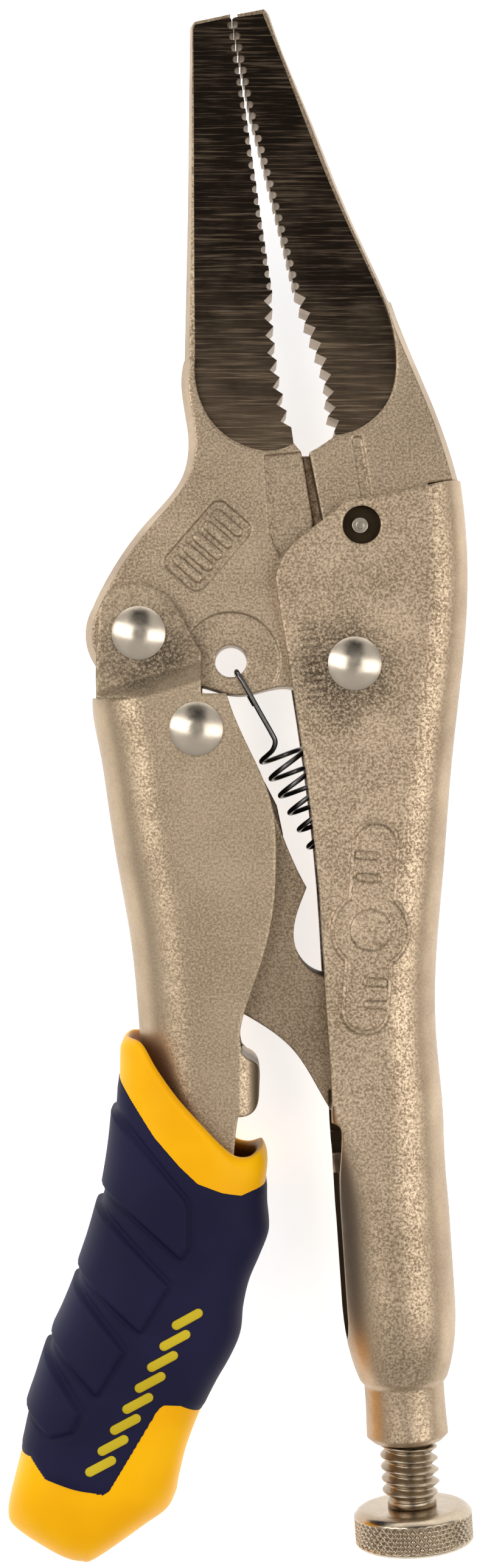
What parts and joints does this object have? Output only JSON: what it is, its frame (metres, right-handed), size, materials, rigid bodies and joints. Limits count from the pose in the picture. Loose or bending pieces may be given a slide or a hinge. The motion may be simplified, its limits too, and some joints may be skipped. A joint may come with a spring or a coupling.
{
  "type": "long-nose locking pliers",
  "caption": "Long-nose locking pliers: pressed fixed handle with adjusting screw, over-centre lever and toggle, toothed jaws and a soft two-colour quick-release grip.",
  "frame": {"origin": "centre of the tool's footprint, on the plane it lies on", "axes": "+Y towards the jaw tips, +Z along the pivot rivets, +X towards the fixed handle's back"},
  "size_m": [0.0508, 0.1686, 0.019],
  "materials": {
    "handle_nickel": "grained satin nickel plate",
    "jaw_steel": "nickel-plated forging with ground faces",
    "rivet_steel": "satin headed steel",
    "link_steel": "matt plated stamping",
    "spring_steel": "black spring wire",
    "screw_steel": "rolled thread and knurl, satin nickel",
    "grip_yellow": "golden yellow moulded plastic",
    "grip_navy": "matt dark navy overmould"
  },
  "bodies": {
    "root": {"fixed_handle": "handle_nickel", "fixed_jaw": "jaw_steel", "jaw_retaining_pin": "rivet_steel", "main_pivot_rivet": "rivet_steel", "spring": "spring_steel"},
    "jaw": {"movable_jaw": "jaw_steel"},
    "lever": {"lever_handle": "handle_nickel", "jaw_lever_rivet": "rivet_steel", "toggle_rivet": "rivet_steel", "release_lever_pin": "rivet_steel"},
    "toggle": {"toggle_link": "link_steel"},
    "release": {"release_lever": "link_steel", "grip_core": "grip_yellow", "grip_overmould": "grip_navy", "grip_marks": "grip_yellow"},
    "screw": {"adjusting_screw": "screw_steel"},
    "knob": {"adjusting_knob": "screw_steel"}
  },
  "joints": [
    {"name": "jaw_hinge", "type": "hinge", "parent": "root", "child": "jaw", "pos_m": [0.01208, 0.0128, 0.0095], "axis": [0, 0, 1], "range_deg": [0, 22], "deforming": ["spring"]},
    {"name": "lever_hinge", "type": "hinge", "parent": "jaw", "child": "lever", "pos_m": [-0.01112, 0.0161, 0.0095], "axis": [0, 0, 1], "range_deg": [-88, 0]},
    {"name": "toggle_hinge", "type": "hinge", "parent": "lever", "child": "toggle", "pos_m": [-0.00492, 0.0058, 0.0095], "axis": [0, 0, 1], "range_deg": [0, 83.75]},
    {"name": "release_hinge", "type": "hinge", "parent": "lever", "child": "release", "pos_m": [-0.00682, -0.0447, 0.0095], "axis": [0, 0, 1], "range_deg": [-1.5, 4]},
    {"name": "screw_travel", "type": "slide", "parent": "root", "child": "screw", "axis": [0.0673, -0.9977, 0], "range_m": [0, 0.0115]},
    {"name": "knob_turn", "type": "hinge", "parent": "screw", "child": "knob", "pos_m": [0.01245, 0.0128, 0.0095], "axis": [0.0673, -0.9977, 0], "range_deg": [0, 3260]}
  ],
  "couplings": [
    {"joint": "jaw_hinge", "follows": "lever_hinge", "ratio": -0.25},
    {"joint": "toggle_hinge", "follows": "lever_hinge", "ratio": -0.95171},
    {"joint": "knob_turn", "follows": "screw_travel", "rad_per_m": 4947.4}
  ]
}
